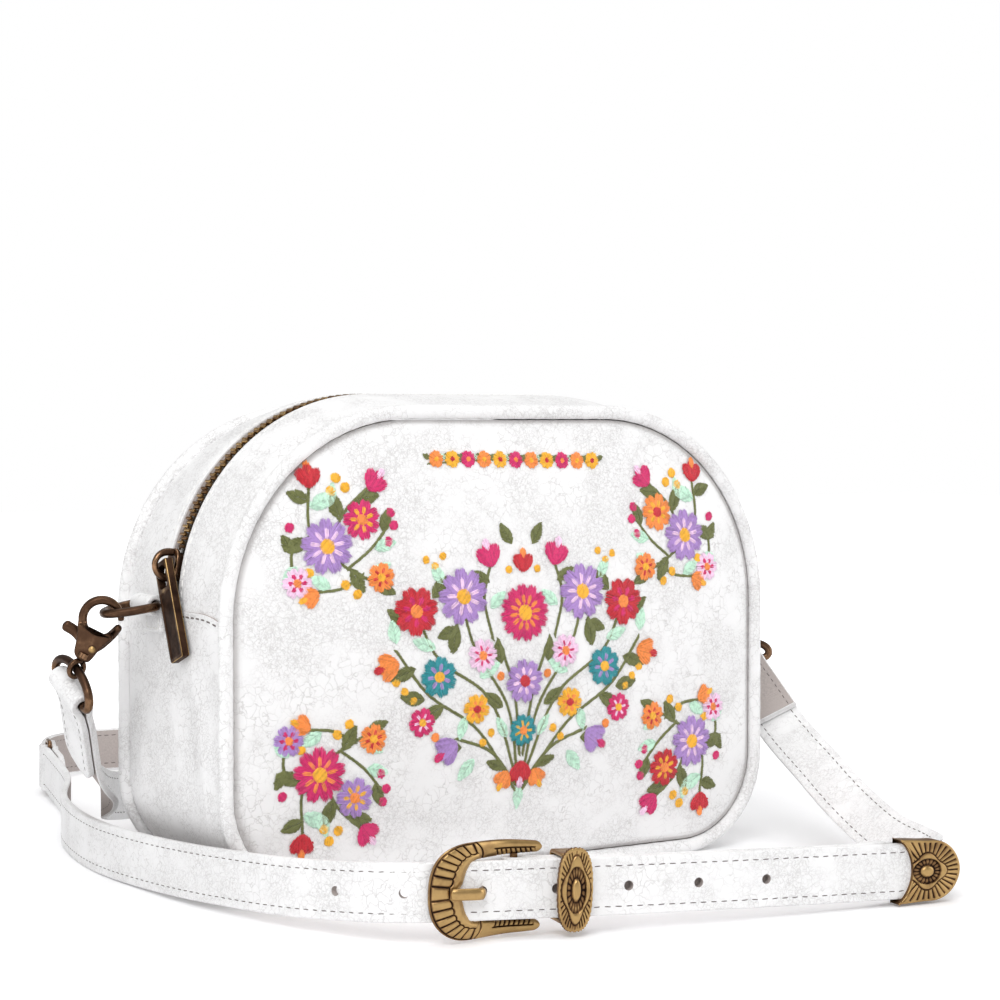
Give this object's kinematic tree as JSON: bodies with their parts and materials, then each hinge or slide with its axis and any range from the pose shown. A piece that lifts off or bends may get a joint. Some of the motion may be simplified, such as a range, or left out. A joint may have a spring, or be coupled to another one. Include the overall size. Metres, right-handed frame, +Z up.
{
  "type": "mini bag",
  "caption": "Small D-shaped leather shoulder bag with a curved zipped top, piped faces, swivel clasps on side rings and a buckled leather strap laid round it.",
  "frame": {"origin": "middle of the bag's flat base, on the floor", "axes": "+Z up, -Y towards the decorated front panel, -X towards the closed end of the zip where the slider rests"},
  "size_m": [0.2739, 0.402, 0.1564],
  "materials": {
    "white_leather": "crackled grain, satin",
    "lining_cloth": "plain weave",
    "board": "matte stiffener board",
    "zip_tape": "woven tape",
    "antique_brass": "dark antique plate with bright worn edges",
    "aged_gold": "aged gold plate, dark in the engraving"
  },
  "bodies": {
    "bag": {"front_panel": "white_leather", "back_panel": "white_leather", "front_piping": "white_leather", "back_piping": "white_leather", "lower_gusset": "white_leather", "zip_gusset_front": "white_leather", "zip_gusset_back": "white_leather", "left_ring_tab": "white_leather", "right_ring_tab": "white_leather", "strap_front": "white_leather", "strap_rear": "white_leather", "strap_left_end": "white_leather", "strap_buckle_end": "white_leather", "strap_right_end": "white_leather", "lining": "lining_cloth", "slip_pocket": "lining_cloth", "base_board": "board", "zip_tape_front": "zip_tape", "zip_tape_back": "zip_tape", "zip_teeth_front": "antique_brass", "zip_teeth_back": "antique_brass", "zip_stop": "antique_brass", "joining_ring": "antique_brass", "buckle_frame": "aged_gold", "buckle_bar": "aged_gold", "strap_tip": "aged_gold"},
    "slider": {"zip_slider": "antique_brass", "slider_bridge": "antique_brass"},
    "pull": {"zip_pull": "antique_brass"},
    "left_loop": {"left_d_ring": "antique_brass"},
    "left_hook": {"left_clasp": "antique_brass", "left_clasp_rivet": "aged_gold"},
    "left_gate": {"left_clasp_lever": "antique_brass"},
    "left_swivel": {"left_swivel_post": "antique_brass"},
    "left_link": {"left_strap_ring": "antique_brass"},
    "right_loop": {"right_d_ring": "antique_brass"},
    "right_hook": {"right_clasp": "antique_brass", "right_clasp_rivet": "aged_gold"},
    "right_gate": {"right_clasp_lever": "antique_brass"},
    "right_swivel": {"right_swivel_post": "antique_brass"},
    "right_link": {"right_strap_ring": "antique_brass"},
    "tongue": {"buckle_tongue": "aged_gold"},
    "keeper": {"keeper_band": "aged_gold", "keeper_concho": "aged_gold"}
  },
  "joints": [
    {"name": "zip_travel", "type": "hinge", "parent": "bag", "child": "slider", "pos_m": [-0.0352, 0, 0.0885], "axis": [0, 1, 0], "range_deg": [0, 73], "deforming": ["zip_teeth_front", "zip_teeth_back"]},
    {"name": "pull_swing", "type": "hinge", "parent": "slider", "child": "pull", "pos_m": [-0.10563, 0, 0.10283], "axis": [0, 0.9336, -0.3584], "range_deg": [0, 140]},
    {"name": "left_ring_swing", "type": "hinge", "parent": "bag", "child": "left_loop", "pos_m": [-0.1068, 0.0094, 0.0896], "axis": [0, 1, 0], "range_deg": [-18, 40], "deforming": ["strap_left_end"]},
    {"name": "left_clasp_swing", "type": "hinge", "parent": "left_loop", "child": "left_hook", "pos_m": [-0.12122, 0.0094, 0.08732], "axis": [-0.4384, -0.8988, 0], "range_deg": [-12, 20]},
    {"name": "left_gate_turn", "type": "hinge", "parent": "left_hook", "child": "left_gate", "pos_m": [-0.12482, 0.01116, 0.07621], "axis": [-0.4384, -0.8988, 0], "range_deg": [0, 18], "stiffness_Nm_per_rad": 0.01, "springref_deg": -20.05},
    {"name": "left_swivel_turn", "type": "hinge", "parent": "left_hook", "child": "left_swivel", "pos_m": [-0.12779, 0.0126, 0.07333], "axis": [-0.408, 0.199, -0.891], "range_deg": [-60, 60]},
    {"name": "left_link_swing", "type": "hinge", "parent": "left_swivel", "child": "left_link", "pos_m": [-0.12922, 0.0133, 0.07021], "axis": [-0.1051, 0.8535, 0.5103], "range_deg": [-20, 20]},
    {"name": "right_ring_swing", "type": "hinge", "parent": "bag", "child": "right_loop", "pos_m": [0.1068, 0.0094, 0.0896], "axis": [0, -1, 0], "range_deg": [-12, 55], "deforming": ["strap_right_end"]},
    {"name": "right_clasp_swing", "type": "hinge", "parent": "right_loop", "child": "right_hook", "pos_m": [0.11861, 0.0094, 0.08102], "axis": [0.4384, 0.8988, 0], "range_deg": [-12, 20]},
    {"name": "right_gate_turn", "type": "hinge", "parent": "right_hook", "child": "right_gate", "pos_m": [0.12221, 0.00764, 0.06991], "axis": [0.4384, 0.8988, 0], "range_deg": [0, 18], "stiffness_Nm_per_rad": 0.01, "springref_deg": -20.05},
    {"name": "right_swivel_turn", "type": "hinge", "parent": "right_hook", "child": "right_swivel", "pos_m": [0.12518, 0.0062, 0.06703], "axis": [0.408, -0.199, -0.891], "range_deg": [-60, 60]},
    {"name": "right_link_swing", "type": "hinge", "parent": "right_swivel", "child": "right_link", "pos_m": [0.12661, 0.0055, 0.06391], "axis": [0.785, -0.4217, 0.4537], "range_deg": [-20, 20]},
    {"name": "tongue_lift", "type": "hinge", "parent": "bag", "child": "tongue", "pos_m": [-0.05036, -0.11379, 0.01423], "axis": [0.0284, -0.0058, 0.9996], "range_deg": [0, 2]},
    {"name": "keeper_slide", "type": "slide", "parent": "bag", "child": "keeper", "axis": [0.9718, -0.2339, -0.029], "range_m": [0, 0.013]}
  ]
}
